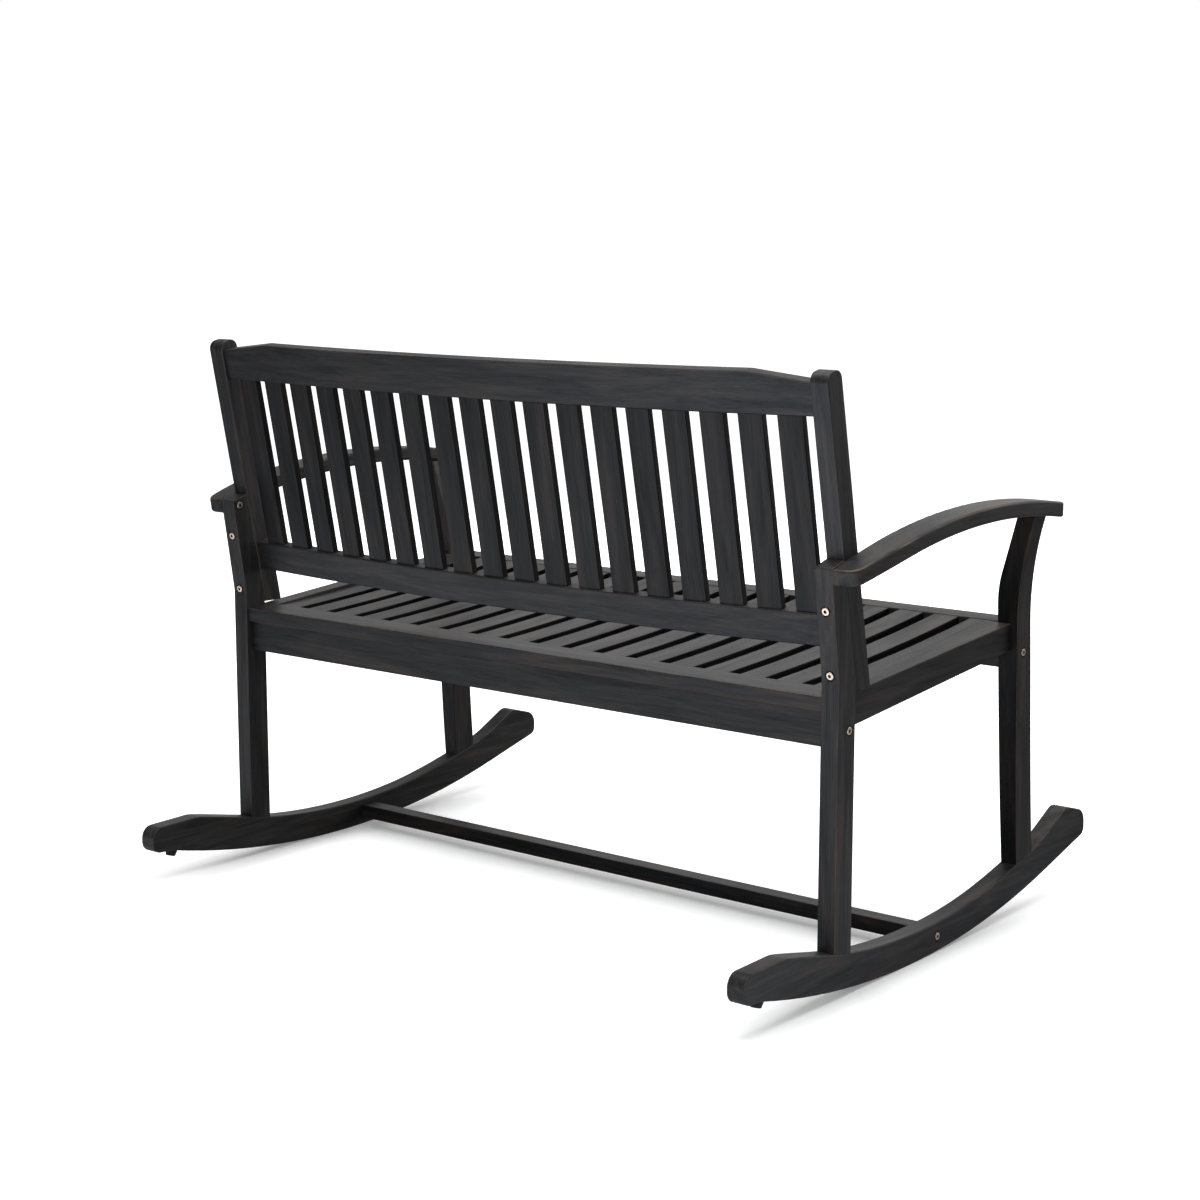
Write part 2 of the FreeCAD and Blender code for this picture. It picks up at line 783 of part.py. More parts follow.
def front_ledger():
    """The front ledger lies against the front apron, and its top is cut to the slats."""
    half = support_half_length()
    rear_y = front_board_rear_y()
    top = rail_top_z(rear_y)
    bottom = top - seat_board_thickness - ledger_height
    ledger = block(-half, half, rear_y, rear_y + front_ledger_depth, bottom, top)
    lip = block(-half, half, rear_y, rear_y + front_board_gap, bottom, top - seat_board_thickness)
    return ledger.common(space_below_slats()).fuse(lip).removeSplitter()


def seat_batten():
    """The batten below the middle of the slats, with its top cut to them."""
    half = support_half_length()
    top = rail_top_z(batten_y) - seat_slat_thickness
    batten = block(-half, half, batten_y - batten_width / 2, batten_y + batten_width / 2,
                   top - batten_height, top)
    return batten.common(space_below_slats())


def stretcher():
    front_y = stretcher_y - stretcher_depth / 2
    bottom = stretcher_z - stretcher_height / 2
    bar = block(-leg_inner_x, leg_inner_x, front_y, front_y + stretcher_depth,
                bottom, bottom + stretcher_height)
    return eased(bar, wood_edge_radius, lambda edge: edge.BoundBox.XLength > side_thickness)


# Hardware: each piece is made along +Z from its seat, with a second solid for the hole that it needs

def bolt(length):
    """A bolt with a low head and a hexagon socket. The seat of the head is at Z = 0."""
    shank = Part.makeCylinder(bolt_radius, length, V(0, 0, 0))
    head = Part.makeCylinder(bolt_head_radius, bolt_head_height, V(0, 0, -bolt_head_height))
    head = eased(head, bolt_head_edge_radius, lambda edge: lies_at(edge, 2, -bolt_head_height))
    corner = bolt_socket_width / math.sqrt(3)
    hexagon = [V(corner * math.cos(math.radians(60 * i)), corner * math.sin(math.radians(60 * i)),
                 -bolt_head_height) for i in range(6)]
    socket = polygon_slab(hexagon, V(0, 0, bolt_socket_depth))
    return head.fuse(shank).removeSplitter().cut(socket)


def bolt_hole(length):
    """The hole for a bolt, with a recess for its head that is open to the outside."""
    shank = Part.makeCylinder(bolt_radius + bolt_hole_clearance, length + overcut)
    recess = Part.makeCylinder(bolt_recess_radius, bolt_head_height + overcut,
                               V(0, 0, -bolt_head_height - overcut))
    return recess.fuse(shank)


def barrel_nut():
    nut = Part.makeCylinder(nut_radius, nut_length, V(0, 0, -nut_length / 2))
    thread = Part.makeCylinder(bolt_radius + thread_clearance, 4 * nut_radius, V(-2 * nut_radius, 0, 0),
                               V(1, 0, 0))
    return nut.cut(thread)


def nut_bore(depth_below):
    """The bore that a barrel nut is dropped into, from the underside of its board."""
    reach = nut_length / 2 + nut_clearance
    return Part.makeCylinder(nut_radius + nut_clearance, depth_below + overcut + reach,
                             V(0, 0, -depth_below - overcut))


def threaded_insert():
    sleeve = Part.makeCylinder(insert_radius, insert_length)
    return sleeve.cut(Part.makeCylinder(bolt_radius + thread_clearance, insert_length))


def insert_bore():
    return Part.makeCylinder(insert_radius + insert_clearance, insert_length)


def dowel():
    half = dowel_length / 2
    pin = Part.makeCylinder(dowel_radius, dowel_length, V(0, 0, -half))
    return eased(pin, dowel_edge_radius, lambda edge: lies_at(edge, 2, half) or lies_at(edge, 2, -half))


def dowel_hole():
    half = dowel_length / 2 + dowel_end_gap
    return Part.makeCylinder(dowel_radius + dowel_clearance, 2 * half, V(0, 0, -half))


def wood_screw(clearance):
    """A countersunk wood screw along +Z with its head at Z = 0, or with a clearance its hole."""
    head = Part.makeCone(screw_head_radius + clearance, screw_radius + clearance, screw_head_height)
    shank = Part.makeCylinder(screw_radius + clearance, screw_length + clearance)
    return head.fuse(shank).removeSplitter()


# Where the hardware goes: each list holds pairs of a place and a direction, for the left side

def frame_bolt_rows():
    """The bolts through the side frames: the axis in Y and Z, and the underside of the board entered."""
    apron_top = seat_rear_z - seat_board_thickness
    rear = (rear_leg_front_y + apron_thickness / 2, apron_top - rear_apron_height / 2,
            apron_top - rear_apron_height)
    front = (front_board_rear_y() - apron_thickness / 2, front_apron_bottom_z() + front_apron_height / 2,
             front_apron_bottom_z())
    middle = (stretcher_y, stretcher_z, stretcher_z - stretcher_height / 2)
    return [rear, front, middle]


def head_seat_x():
    return frame_half_width + bolt_head_proud - bolt_head_height


def back_bolt_places():
    """The bolts through the rear legs into the back posts, square to the posts."""
    places = []
    for up, seat in ((upper_back_bolt, upper_back_bolt_seat), (lower_back_bolt, lower_back_bolt_seat)):
        places.append((V(leg_middle_x, seat, up), V(0, -1, 0)))
    return places


def arm_bolt_place():
    y = rear_leg_top_rear_y - arm_bolt_from_rear
    z = (arm_top_z(y) + arm_underside_z(y)) / 2
    return V(leg_inner_x - bolt_head_proud + bolt_head_height, y, z), V(1, 0, 0)


def frame_dowel_places():
    places = []
    half = dowel_spacing / 2
    for leg_y, rise in ((rear_leg_middle_y(), rocker_rear_leg_height),
                        (front_leg_middle_y(), rocker_front_leg_height)):
        for y in (leg_y - half, leg_y + half):
            places.append((V(leg_middle_x, y, rocker_bottom_z(y) + rise), V(0, 0, 1)))
    rail_x = (leg_inner_x + rail_outer_x) / 2
    for y, top, height in ((rear_leg_front_y, seat_rear_z, side_rail_rear_height),
                           (front_leg_seat_y, seat_front_z, side_rail_front_height)):
        for z in (top - height / 2 - half, top - height / 2 + half):
            places.append((V(rail_x, y, z), V(0, 1, 0)))
    arm_y = front_leg_top_y - front_leg_top_depth / 2
    arm_x = frame_half_width + arm_dowel_inset
    places.append((V(arm_x, arm_y, arm_underside_z(arm_y)), V(0, 0, 1)))
    batten_z = rail_top_z(batten_y) - seat_slat_thickness - batten_height / 2
    places.append((V(rail_inner_x, batten_y, batten_z - batten_dowel_drop), V(1, 0, 0)))
    return places + board_dowel_places()


def board_dowel_places():
    """Dowels that hold the seat boards on the aprons, and, between two slats, the ledgers against them."""
    places = []
    apron_top = seat_rear_z - seat_board_thickness
    rear_y = rear_leg_front_y + apron_thickness / 2
    front_y = front_board_rear_y()
    front_middle_y = front_y - apron_thickness / 2
    front_top = rail_top_z(front_middle_y) - seat_board_thickness
    ledger_z = apron_top - ledger_height / 2
    front_ledger_z = rail_top_z(front_y) - seat_board_thickness - ledger_height / 2
    for share in board_dowel_shares:
        x = share * rail_inner_x
        places.append((V(x, rear_y, apron_top), V(0, 0, 1)))
        places.append((V(x, front_middle_y, front_top), V(0, 0, 1)))
    slats = seat_slat_places()
    for share in ledger_dowel_shares:
        slat = int(share * seat_slat_count)
        x = (slats[slat] + slats[slat + 1]) / 2
        places.append((V(x, rear_leg_front_y, ledger_z), V(0, 1, 0)))
        places.append((V(x, front_y, front_ledger_z), V(0, 1, 0)))
    return places


def back_dowel_places():
    """Dowels between the back rails and the posts, in the back's own frame."""
    places = []
    top_rail_end_height = top_rail_height - top_rail_end_drop
    for start, height in ((bottom_rail_start, bottom_rail_height), (top_rail_start, top_rail_end_height)):
        for z in (start + height / 2 - dowel_spacing / 2, start + height / 2 + dowel_spacing / 2):
            places.append((V(leg_inner_x, -back_rail_recess - back_rail_thickness / 2, z), V(1, 0, 0)))
    return places


def seat_screw_places():
    """One screw up through each support into each slat."""
    rear_z = rear_ledger().BoundBox.ZMin
    front_z = front_ledger().BoundBox.ZMin
    batten_z = seat_batten().BoundBox.ZMin
    rear_y = (rear_leg_front_y - rear_ledger_depth + seat_rear_end_y()) / 2
    front_y = front_board_rear_y() + (front_board_gap + front_ledger_depth) / 2
    places = []
    for x in seat_slat_places():
        places.append(V(x, rear_y, rear_z))
        places.append(V(x, batten_y, batten_z))
        places.append(V(x, front_y, front_z))
    return places


def pad_axis():
    """The middle of a stop pad's top face, and the direction square to the rocker, pointing down."""
    y = pad_y
    angle = math.asin((y - rocker_low_y) / rocker_radius)
    return V(leg_middle_x, y, rocker_bottom_z(y)), V(0, math.sin(angle), -math.cos(angle))


def stop_pad():
    place, down = pad_axis()
    pad = Part.makeCone(pad_top_radius, pad_bottom_radius, pad_height)
    pad = eased(pad, pad_edge_radius, lambda edge: lies_at(edge, 2, pad_height))
    recess = Part.makeCylinder(screw_head_radius + pad_recess_clearance, pad_screw_recess,
                               V(0, 0, pad_height - pad_screw_recess))
    return point_along(pad.cut(recess), place, down).cut(pad_screw(screw_clearance))


def pad_screw(clearance):
    place, down = pad_axis()
    head_place = place + down * (pad_height - pad_screw_recess)
    return point_along(wood_screw(clearance), head_place, down * -1)


def make_hardware():
    """Every fastener by node, and every hole that the wooden pieces need."""
    solids = {name: [] for name in ("frame_bolts", "back_bolts", "arm_bolts", "barrel_nuts",
                                    "threaded_inserts", "frame_dowels", "back_dowels", "wood_screws",
                                    "stop_pads")}
    holes = []
    for y, z, board_bottom in frame_bolt_rows():
        seat = V(head_seat_x(), y, z)
        nut_place = V(leg_inner_x - nut_inset, y, z)
        solids["frame_bolts"].append(point_along(bolt(frame_bolt_length), seat, V(-1, 0, 0)))
        solids["barrel_nuts"].append(point_along(barrel_nut(), nut_place, V(0, 0, 1)))
        holes.append(point_along(bolt_hole(frame_bolt_length), seat, V(-1, 0, 0)))
        holes.append(point_along(nut_bore(z - board_bottom), nut_place, V(0, 0, 1)))
    for place, direction in back_bolt_places():
        insert_place = place + direction * (back_bolt_length - insert_length)
        solids["back_bolts"].append(lean_back(point_along(bolt(back_bolt_length), place, direction)))
        solids["threaded_inserts"].append(lean_back(point_along(threaded_insert(), insert_place, direction)))
        holes.append(lean_back(point_along(bolt_hole(back_bolt_length), place, direction)))
        holes.append(lean_back(point_along(insert_bore(), insert_place, direction)))
    place, direction = arm_bolt_place()
    insert_place = place + direction * (arm_bolt_length - insert_length)
    solids["arm_bolts"].append(point_along(bolt(arm_bolt_length), place, direction))
    solids["threaded_inserts"].append(point_along(threaded_insert(), insert_place, direction))
    holes.append(point_along(bolt_hole(arm_bolt_length), place, direction))
    holes.append(point_along(insert_bore(), insert_place, direction))
    for place, direction in frame_dowel_places():
        solids["frame_dowels"].append(point_along(dowel(), place, direction))
        holes.append(point_along(dowel_hole(), place, direction))
    for place, direction in back_dowel_places():
        solids["back_dowels"].append(lean_back(point_along(dowel(), place, direction)))
        holes.append(lean_back(point_along(dowel_hole(), place, direction)))
    solids["stop_pads"].append(stop_pad())
    solids["wood_screws"].append(pad_screw(0))
    holes.append(pad_screw(screw_clearance))
    for name in solids:
        solids[name] = both_sides(solids[name])
    holes = both_sides(holes)
    for place in seat_screw_places():
        solids["wood_screws"].append(point_along(wood_screw(0), place, V(0, 0, 1)))
        holes.append(point_along(wood_screw(screw_clearance), place, V(0, 0, 1)))
    return solids, holes


def near(tool, solid):
    return tool.BoundBox.intersect(solid.BoundBox)


def drilled(solid, holes):
    """The solid with every hole that reaches into it."""
    tools = [hole for hole in holes if near(hole, solid)]
    return solid.cut(tools) if tools else solid


def make_wood():
    """Every wooden piece before drilling, by node."""
    pieces = {}
    sides = {"rocker": rocker(), "rear_leg": rear_leg(), "front_leg": front_leg(), "armrest": armrest(),
             "back_post": back_post(), "side_rail": side_rail()}
    for name, solid in sides.items():
        pieces["left_" + name] = [solid]
        pieces["right_" + name] = [mirrored(solid)]
    mortises = [back_slat_box(x, tenon_clearance) for x in back_slat_places()]
    pieces["back_top_rail"] = [lean_back(top_rail().cut(mortises))]
    pieces["back_bottom_rail"] = [lean_back(bottom_rail().cut(mortises))]
    for i, x in enumerate(back_slat_places(), start=1):
        pieces[f"back_slat_{i:02d}"] = [lean_back(back_slat_box(x, 0))]
    slats = [seat_slat(x) for x in seat_slat_places()]
    for i in range(0, len(slats), 2):
        pair = slats[i:i + 2]
        pieces[f"seat_slats_{i + 1:02d}_{i + len(pair):02d}"] = pair
    pieces["rear_seat_board"] = [rear_board()]
    pieces["front_seat_board"] = [front_board()]
    pieces["rear_apron"] = [rear_apron()]
    pieces["front_apron"] = [front_apron()]
    pieces["rear_ledger"] = [rear_ledger()]
    pieces["front_ledger"] = [front_ledger()]
    pieces["seat_batten"] = [seat_batten()]
    pieces["rocker_stretcher"] = [stretcher()]
    return pieces


def main():
    os.makedirs("parts", exist_ok=True)
    hardware, holes = make_hardware()
    nodes = {name: [drilled(solid, holes) for solid in solids] for name, solids in make_wood().items()}
    nodes.update(hardware)
    for name, solids in nodes.items():
        loose = [solid for shape in solids for solid in shape.Solids]
        shape = loose[0] if len(loose) == 1 else Part.makeCompound(loose)
        shape.exportStep(f"parts/{name}.step")
        print(name, len(loose), "solids, volume", round(shape.Volume), "valid", shape.isValid())


main()
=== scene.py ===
import bpy
import math
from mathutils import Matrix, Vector

# The looks of the rocking bench: dark stained wood, furniture bolts and rubber stop pads,
# in a white studio. Lengths are in metres.

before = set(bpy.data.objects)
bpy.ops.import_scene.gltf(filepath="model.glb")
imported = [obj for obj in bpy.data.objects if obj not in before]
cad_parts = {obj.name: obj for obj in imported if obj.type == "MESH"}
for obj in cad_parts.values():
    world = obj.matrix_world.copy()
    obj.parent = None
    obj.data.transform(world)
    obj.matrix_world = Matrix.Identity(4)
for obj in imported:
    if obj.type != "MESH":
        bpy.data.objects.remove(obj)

# How far the back leans, in degrees
BACK_TILT = 11.15

# Stained wood, from the darkest grain to the lightest
GRAIN_DARK = (0.0085, 0.0086, 0.0092)
GRAIN_MIDDLE = (0.0185, 0.0185, 0.0194)
GRAIN_LIGHT = (0.0360, 0.0352, 0.0348)
BROWN_TINT = (0.0640, 0.0340, 0.0180)
WORN_EDGE = (0.2000, 0.1300, 0.0800)

# Layers of the wood's figure: how far each is drawn out along the grain, its scale, detail, roughness
# and distortion
FIBRES = (0.020, 900.0, 3.0, 0.65, 0.0)
STREAKS = (0.035, 210.0, 4.0, 0.60, 0.6)
BANDS = (0.090, 52.0, 3.0, 0.55, 0.8)
CLOUDS = (0.450, 11.0, 3.0, 0.55, 0.0)
PATCHES = (0.120, 60.0, 3.0, 0.55, 0.0)

# Shares of fibres, streaks and bands in the grain, and of the brown tint and the rubbed edge over it
FIBRE_SHARE = 0.28
STREAK_SHARE = 0.34
BAND_SHARE = 0.38
BROWN_SHARE = 0.55
WORN_SHARE = 0.55

# The wood's sheen from dark to light grain, its roughness, and its relief as strength and depth
SHEEN = (0.26, 0.60)
ROUGHNESS = (0.46, 0.60)
WOOD_RELIEF = (0.60, 0.0006)

# How far the pattern moves and the tone changes from piece to piece
PATTERN_SHIFT = (0.731, 1.177, 0.419)
TONE_CHANGE = 0.10

# Where edges wear, from the first turn of the surface to the full one
WEAR_RANGE = (0.45, 0.95)
ARM_WEAR_RANGE = (0.68, 0.98)

# The floor: its half width, how light it looks, its glow near the bench, how much it throws back,
# where it fades into the surround, where the painted shade round the bench ends in the floor's painted
# reflection, and how far a painted contact shadow reaches
FLOOR_HALF = 30.0
FLOOR_SEEN = 0.90
FLOOR_GLOW = 0.70
FLOOR_BOUNCE = 0.08
FLOOR_FADE = (1.2, 3.0)
FLOOR_SHADE = (0.55, 1.25)
CONTACT_SHADE = 0.12

# Painted reflection, the floor's glow that only gloss sees: a bright place behind the bench, its reach, and
# the rest
BRIGHT_PLACE = (-0.3, 1.8, 0.0)
BRIGHT_REACH = 2.6
PAINTED_REFLECTION_BRIGHT = (3.60, 3.75, 4.10)
PAINTED_REFLECTION_REST = (0.15, 0.15, 0.155)

# The surround's light by direction, and the lamps as place, target, width, power and colour
HORIZON_LIGHT = 0.04
OVERHEAD_LIGHT = 0.20
BACKDROP_LIGHT = 1.45
OVERHEAD = ((-0.3, 0.2, 3.4), (0.0, 0.0, 0.0), 3.2, 100.0, (1.0, 1.0, 1.0))
FRONT_FILL = ((2.8, -3.4, 2.2), (0.0, 0.0, 0.4), 2.4, 110.0, (1.0, 0.99, 0.97))
REAR_FILL = ((-2.4, 4.2, 1.7), (-0.2, 0.2, 0.5), 2.4, 34.0, (0.88, 0.95, 1.0))

# Camera, found from the photo's straight edges
CAMERA_PLACE = (-2.3282, 2.9349, 1.1150)
CAMERA_YAW = 38.7376
CAMERA_PITCH = 9.5957
CAMERA_LENS = 69.047
CAMERA_SENSOR = 36.0


def node(tree, kind, **inputs):
    """Adds a shader node and sets the sockets named, with spaces written as underscores."""
    made = tree.nodes.new(kind)
    for name, value in inputs.items():
        made.inputs[name.replace("_", " ")].default_value = value
    return made


def join(tree, source, target):
    tree.links.new(source, target)


def maths(tree, operation, first, second=None, clamp=False):
    """A maths node. Each input is a socket or a number. Returns its output."""
    made = tree.nodes.new("ShaderNodeMath")
    made.operation = operation
    made.use_clamp = clamp
    for slot, value in enumerate((first, second)):
        if value is None:
            continue
        if isinstance(value, (int, float)):
            made.inputs[slot].default_value = value
        else:
            join(tree, value, made.inputs[slot])
    return made.outputs[0]


def mixed(tree, share, first, second, blend="MIX"):
    """A colour mix. Each colour is a socket or a tuple. Returns its output."""
    made = tree.nodes.new("ShaderNodeMix")
    made.data_type = "RGBA"
    made.blend_type = blend
    if isinstance(share, (int, float)):
        made.inputs["Factor"].default_value = share
    else:
        join(tree, share, made.inputs["Factor"])
    for socket, value in ((made.inputs[6], first), (made.inputs[7], second)):
        if isinstance(value, tuple):
            socket.default_value = (*value, 1.0)
        else:
            join(tree, value, socket)
    return made.outputs[2]


def ramp(tree, source, stops):
    """A colour ramp. Stops are pairs of a position and a grey level or a colour."""
    made = tree.nodes.new("ShaderNodeValToRGB")
    join(tree, source, made.inputs["Fac"])
    elements = made.color_ramp.elements
    while len(elements) < len(stops):
        elements.new(0.5)
    for element, (position, value) in zip(elements, stops):
        element.position = position
        colour = value if isinstance(value, tuple) else (value, value, value)
        element.color = (*colour, 1.0)
    return made.outputs["Color"]


def turned(tree, vector, tilt):
    """The vector in the frame of a piece that leans back."""
    if not tilt:
        return vector
    made = node(tree, "ShaderNodeVectorRotate", Angle=math.radians(tilt))
    made.rotation_type = "X_AXIS"
    join(tree, vector, made.inputs["Vector"])
    return made.outputs[0]


def stretched(tree, vector, axis, along, offset):
    """The vector drawn out along the grain, and moved so that no two pieces look alike."""
    scale = [1.0, 1.0, 1.0]
    scale["XYZ".index(axis)] = along
    made = node(tree, "ShaderNodeMapping", Scale=scale, Location=offset)
    join(tree, vector, made.inputs["Vector"])
    return made.outputs[0]


def product(tree, first, second):
    """One colour times another."""
    return mixed(tree, 1.0, first, second, "MULTIPLY")


def axis_part(tree, vector, axis):
    """The part of the vector along one axis."""
    parts = tree.nodes.new("ShaderNodeSeparateXYZ")
    join(tree, vector, parts.inputs[0])
    return parts.outputs["XYZ".index(axis)]


def object_place(tree):
    return tree.nodes.new("ShaderNodeTexCoord").outputs["Object"]


def noise(tree, vector, scale, detail, roughness=0.55, distortion=0.0):
    made = node(tree, "ShaderNodeTexNoise", Scale=scale, Detail=detail, Roughness=roughness,
                Distortion=distortion)
    join(tree, vector, made.inputs["Vector"])
    return made.outputs["Fac"]


def edge_mask(tree, normal, axis, start, end):
    """One where the surface turns from facing along the axis to facing across it."""
    along = maths(tree, "ABSOLUTE", axis_part(tree, normal, axis))
    rest = maths(tree, "SUBTRACT", 1.0, maths(tree, "MULTIPLY", along, along), True)
    across = maths(tree, "SQRT", rest)
    turn = maths(tree, "MULTIPLY", maths(tree, "MULTIPLY", along, across), 2.0)
    made = node(tree, "ShaderNodeMapRange")
    made.interpolation_type = "SMOOTHSTEP"
    made.inputs["From Min"].default_value = start
    made.inputs["From Max"].default_value = end
    join(tree, turn, made.inputs["Value"])
    return made.outputs["Result"]


def new_material(name):
    material = bpy.data.materials.new(name)
    material.use_nodes = True
    return material, material.node_tree, material.node_tree.nodes["Principled BSDF"]


def add_relief(tree, shader, height, strength, depth):
    """Raises the surface a little where the height is greater."""
    bump = node(tree, "ShaderNodeBump", Strength=strength, Distance=depth)
    join(tree, height, bump.inputs["Height"])
    join(tree, bump.outputs["Normal"], shader.inputs["Normal"])


def painted_shade_by_facing(tree, normal, axis, face_shade, side_shade):
    """Painted shade: the face shade, falling to the side shade where the surface turns to face along the
    axis.
    """
    facing = maths(tree, "ABSOLUTE", axis_part(tree, normal, axis))
    return ramp(tree, facing, [(0.50, face_shade), (0.72, side_shade)])


def stained_wood(name, grain, wear_axis, seed, tone, tilt, wear, brown, wear_range, painted_shades):
    """Dark stained wood with its grain along one axis, its edges worn through to a lighter tan, and painted
    shade on some faces by the way they face.
    """
    material, tree, shader = new_material(name)
    offset = tuple(seed * shift for shift in PATTERN_SHIFT)
    coordinates = turned(tree, object_place(tree), tilt)
    normal = turned(tree, tree.nodes.new("ShaderNodeNewGeometry").outputs["Normal"], tilt)

    def figure(along, *texture):
        return noise(tree, stretched(tree, coordinates, grain, along, offset), *texture)

    def share(layer, amount):
        return maths(tree, "MULTIPLY", layer, amount)

    fibres = figure(*FIBRES)
    streaks = figure(*STREAKS)
    bands = figure(*BANDS)
    level = maths(tree, "ADD", share(fibres, FIBRE_SHARE), share(streaks, STREAK_SHARE))
    level = maths(tree, "ADD", level, share(bands, BAND_SHARE))
    colour = ramp(tree, level, [(0.37, GRAIN_DARK), (0.50, GRAIN_MIDDLE), (0.63, GRAIN_LIGHT)])
    clouds = ramp(tree, figure(*CLOUDS), [(0.30, 0.72 * tone), (0.70, 1.28 * tone)])
    colour = product(tree, colour, clouds)
    brown_bands = ramp(tree, bands, [(0.50, 0.0), (0.70, 1.0)])
    brown_share = maths(tree, "MULTIPLY", brown_bands, BROWN_SHARE * brown, True)
    colour = mixed(tree, brown_share, colour, BROWN_TINT)

    edge = edge_mask(tree, normal, wear_axis, *wear_range)
    patchy = ramp(tree, figure(*PATCHES), [(0.38, 0.10), (0.62, 1.0)])
    worn = maths(tree, "MULTIPLY", maths(tree, "MULTIPLY", edge, patchy), WORN_SHARE * wear, True)
    colour = mixed(tree, worn, colour, WORN_EDGE)
    # Painted shade by the way the surface faces, on the colour
    shade = painted_shade_by_facing(tree, normal, "X", *painted_shades)
    join(tree, product(tree, colour, shade), shader.inputs["Base Color"])

    sheen = ramp(tree, level, [(0.37, SHEEN[0]), (0.63, SHEEN[1])])
    # The sheen carries the same painted shade
    join(tree, product(tree, sheen, shade), shader.inputs["Specular IOR Level"])
    roughness = ramp(tree, streaks, [(0.30, ROUGHNESS[0]), (0.70, ROUGHNESS[1])])
    join(tree, roughness, shader.inputs["Roughness"])
    height = maths(tree, "ADD", share(fibres, 0.6), share(streaks, 0.4))
    add_relief(tree, shader, height, *WOOD_RELIEF)
    return material


def pale_wood():
    """The bare wood of the dowels."""
    material, tree, shader = new_material("dowel_wood")
    grain = noise(tree, object_place(tree), 400.0, 4.0)
    join(tree, ramp(tree, grain, [(0.3, (0.42, 0.29, 0.17)), (0.7, (0.62, 0.47, 0.31))]),
         shader.inputs["Base Color"])
    shader.inputs["Roughness"].default_value = 0.7
    return material


def metal(name, dark, light, roughness):
    """Turned metal with faint scratches and uneven sheen, with painted shade inside its recesses."""
    material, tree, shader = new_material(name)
    wear = noise(tree, object_place(tree), 650.0, 4.0, 0.6)
    # Painted shade: the colour darkens inside recesses, such as a bolt's socket
    recess_occlusion = node(tree, "ShaderNodeAmbientOcclusion", Distance=0.004)
    painted_recess_shade = ramp(tree, recess_occlusion.outputs["AO"], [(0.45, 0.03), (0.80, 1.0)])
    bright = ramp(tree, wear, [(0.3, dark), (0.7, light)])
    join(tree, product(tree, bright, painted_recess_shade), shader.inputs["Base Color"])
    join(tree, ramp(tree, wear, [(0.3, roughness - 0.07), (0.7, roughness + 0.10)]),
         shader.inputs["Roughness"])
    shader.inputs["Metallic"].default_value = 1.0
    add_relief(tree, shader, wear, 0.15, 0.0002)
    return material


def rubber():
    """Moulded rubber, a little dusty."""
    material, tree, shader = new_material("pad_rubber")
    dust = noise(tree, object_place(tree), 180.0, 5.0, 0.65)
    join(tree, ramp(tree, dust, [(0.35, (0.008, 0.008, 0.008)), (0.75, (0.030, 0.029, 0.027))]),
         shader.inputs["Base Color"])
    join(tree, ramp(tree, dust, [(0.3, 0.62), (0.7, 0.85)]), shader.inputs["Roughness"])
    add_relief(tree, shader, dust, 0.25, 0.0004)
    return material


# How each kind of wooden piece is cut: the start of its name, the grain's axis, the axis that its
# worn edges turn away from, whether it leans with the back, its tone, wear and brownness
WOOD_KINDS = [
    ("rocker_stretcher", "X", "Y", 0.0, 1.00, 0.4, 1.0),
    ("back_top_rail", "X", "Z", BACK_TILT, 1.10, 0.2, 0.5),
    ("back_bottom_rail", "X", "Z", BACK_TILT, 1.10, 0.2, 0.6),
    ("back_slat", "Z", "X", BACK_TILT, 1.05, 0.2, 0.7),
    ("seat_slats", "Y", "X", 0.0, 1.15, 0.1, 0.5),
    ("left_back_post", "Z", "X", BACK_TILT, 1.00, 0.4, 0.7),
    ("right_back_post", "Z", "X", BACK_TILT, 1.10, 0.5, 0.5),
    ("left_rocker", "Y", "X", 0.0, 1.30, 0.4, 0.8),
    ("right_rocker", "Y", "X", 0.0, 1.10, 0.6, 0.8),
    ("left_armrest", "Y", "Z", 0.0, 1.10, 0.7, 0.8),
    ("right_armrest", "Y", "Z", 0.0, 1.15, 1.4, 0.9),
    ("left_rear_leg", "Z", "X", 0.0, 1.30, 0.6, 0.8),
    ("right_rear_leg", "Z", "X", 0.0, 1.10, 1.2, 1.1),
    ("left_front_leg", "Z", "Y", 0.0, 1.00, 0.5, 1.0),
    # This low tone is partly painted shade, for the shade that the armrest and the seat cast on the leg
    ("right_front_leg", "Z", "Y", 0.0, 0.75, 1.2, 1.4),
    ("left_side_rail", "Y", "X", 0.0, 1.05, 0.5, 0.9),
    ("right_side_rail", "Y", "X", 0.0, 1.10, 0.7, 0.8),
    ("rear_seat_board", "X", "Y", 0.0, 1.10, 1.8, 0.8),
    ("rear_apron", "X", "Y", 0.0, 1.15, 1.8, 0.9),
    ("", "X", "Y", 0.0, 1.15, 0.5, 0.9),
]

# Painted shade: how much darker the fronts and rears of some pieces are made in colour and sheen, and their
# sides. The sides of slats face each other across narrow gaps, the near front leg stands in the shade of
# the armrest and the seat, and the near side rail and back post are darker on their sides.
PAINTED_FACE_SHADES = {
    "seat_slats": (1.0, 0.20),
    "back_slat": (0.66, 0.34),
    "right_front_leg": (0.50, 0.92),
    "right_side_rail": (1.0, 0.78),
    "right_back_post": (1.0, 0.80),
}

HARDWARE = {
    "frame_bolts": "bolt",
    "back_bolts": "bolt",
    "arm_bolts": "bolt",
    "barrel_nuts": "zinc",
    "wood_screws": "zinc",
    "threaded_inserts": "brass",
    "frame_dowels": "dowel",
    "back_dowels": "dowel",
    "stop_pads": "rubber",
}


def painted_shades_for(name):
    for start, painted_shades in PAINTED_FACE_SHADES.items():
        if name.startswith(start):
            return painted_shades
    return (1.0, 1.0)


def wood_for(name, seed):
    for start, grain, wear_axis, tilt, tone, wear, brown in WOOD_KINDS:
        if name.startswith(start):
            own_tone = tone * (1.0 + TONE_CHANGE * math.sin(seed * 2.4))
            wear_range = ARM_WEAR_RANGE if name.endswith("armrest") else WEAR_RANGE
            return stained_wood("wood_" + name, grain, wear_axis, seed, own_tone, tilt, wear, brown,
                                wear_range, painted_shades_for(name))


